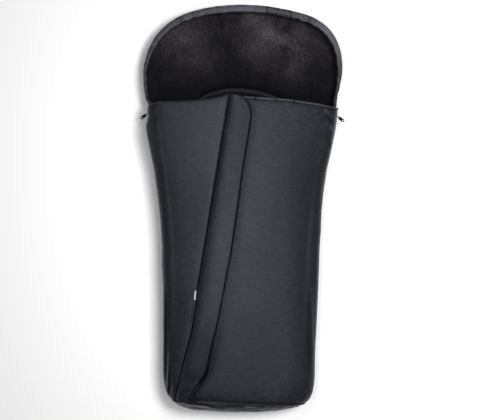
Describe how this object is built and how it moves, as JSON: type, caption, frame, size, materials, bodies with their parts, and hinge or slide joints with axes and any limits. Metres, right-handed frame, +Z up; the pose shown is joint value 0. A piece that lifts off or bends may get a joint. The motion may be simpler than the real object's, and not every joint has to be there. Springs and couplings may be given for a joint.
{
  "type": "stroller footmuff",
  "caption": "Padded bag that keeps a seated child's legs and body warm, with a plush lining, a cover that unzips and folds down, and harness slots through the back.",
  "frame": {"origin": "centre of the footprint, on the surface that the back lies on", "axes": "+Y towards the head end, +Z up away from the back, +X to the right in the picture"},
  "size_m": [0.4824, 0.961, 0.1047],
  "materials": {
    "shell_fabric": "matt woven polyester",
    "plush": "deep pile",
    "wadding": "fibre fill",
    "binding": "woven tape",
    "zip_tape": "woven tape",
    "zip_plastic": "moulded",
    "slider_metal": "black lacquer",
    "pull_tab": "moulded",
    "woven_tag": "woven label, bare"
  },
  "bodies": {
    "back": {"back_lining": "plush", "back_shell": "shell_fabric", "back_wadding": "wadding", "crotch_slot_binding": "binding", "foot_gusset_lining": "plush", "foot_gusset_shell": "shell_fabric", "foot_gusset_wadding": "wadding", "harness_panel": "plush", "head_rim": "shell_fabric", "left_zip_back_coil": "zip_plastic", "left_zip_back_tape": "zip_tape", "left_zip_bottom_stop": "zip_plastic", "right_zip_back_coil": "zip_plastic", "right_zip_back_tape": "zip_tape", "right_zip_bottom_stop": "zip_plastic", "seat_panel_lining": "plush", "seat_panel_shell": "shell_fabric", "shoulder_left_slot_binding": "binding", "shoulder_right_slot_binding": "binding"},
    "front_cover": {"centre_zip_bottom_stop": "zip_plastic", "centre_zip_left_tape": "zip_tape", "centre_zip_left_teeth": "zip_plastic", "centre_zip_right_tape": "zip_tape", "centre_zip_right_teeth": "zip_plastic", "front_left_facing": "shell_fabric", "front_left_lining": "plush", "front_left_shell": "shell_fabric", "front_left_wadding": "wadding", "front_right_facing": "shell_fabric", "front_right_lining": "plush", "front_right_shell": "shell_fabric", "front_right_wadding": "wadding", "left_zip_front_coil": "zip_plastic", "left_zip_front_tape": "zip_tape", "placket_flap_end": "shell_fabric", "right_zip_front_coil": "zip_plastic", "right_zip_front_tape": "zip_tape", "woven_tag": "woven_tag"},
    "placket_flap": {"placket_flap": "shell_fabric"},
    "centre_slider": {"centre_pull": "slider_metal", "centre_slider": "slider_metal"},
    "left_slider": {"left_slider": "slider_metal"},
    "left_pull": {"left_pull_loop": "slider_metal"},
    "left_tab": {"left_pull_tab": "pull_tab"},
    "right_slider": {"right_slider": "slider_metal"},
    "right_pull": {"right_pull_loop": "slider_metal"},
    "right_tab": {"right_pull_tab": "pull_tab"}
  },
  "joints": [
    {"name": "cover_fold", "type": "hinge", "parent": "back", "child": "front_cover", "pos_m": [0, -0.453, 0.09094], "axis": [1, 0, 0], "range_deg": [0, 180]},
    {"name": "flap_lift", "type": "hinge", "parent": "front_cover", "child": "placket_flap", "pos_m": [-0.0307, 0.262, 0.0987], "axis": [-0.1483, -0.9889, 0], "range_deg": [0, 150]},
    {"name": "centre_zip_run", "type": "slide", "parent": "front_cover", "child": "centre_slider", "axis": [-0.1483, -0.9889, 0], "range_m": [0, 0.601], "deforming": ["centre_zip_left_teeth", "centre_zip_right_teeth"]},
    {"name": "left_zip_run", "type": "slide", "parent": "back", "child": "left_slider", "axis": [0.1323, -0.9912, 0], "range_m": [0, 0.165], "deforming": ["left_zip_back_coil", "left_zip_front_coil"]},
    {"name": "left_pull_swing", "type": "hinge", "parent": "left_slider", "child": "left_pull", "pos_m": [-0.22125, 0.22244, 0.042], "axis": [0, 0, -1], "range_deg": [-45, 100]},
    {"name": "left_tab_swivel", "type": "hinge", "parent": "left_pull", "child": "left_tab", "pos_m": [-0.22886, 0.21659, 0.042], "axis": [0, 0, 1], "range_deg": [-30, 30]},
    {"name": "right_zip_run", "type": "slide", "parent": "back", "child": "right_slider", "axis": [-0.1323, -0.9912, 0], "range_m": [0, 0.165], "deforming": ["right_zip_back_coil", "right_zip_front_coil"]},
    {"name": "right_pull_swing", "type": "hinge", "parent": "right_slider", "child": "right_pull", "pos_m": [0.22125, 0.22244, 0.042], "axis": [0, 0, 1], "range_deg": [-45, 100]},
    {"name": "right_tab_swivel", "type": "hinge", "parent": "right_pull", "child": "right_tab", "pos_m": [0.22886, 0.21659, 0.042], "axis": [0, 0, -1], "range_deg": [-30, 30]}
  ]
}
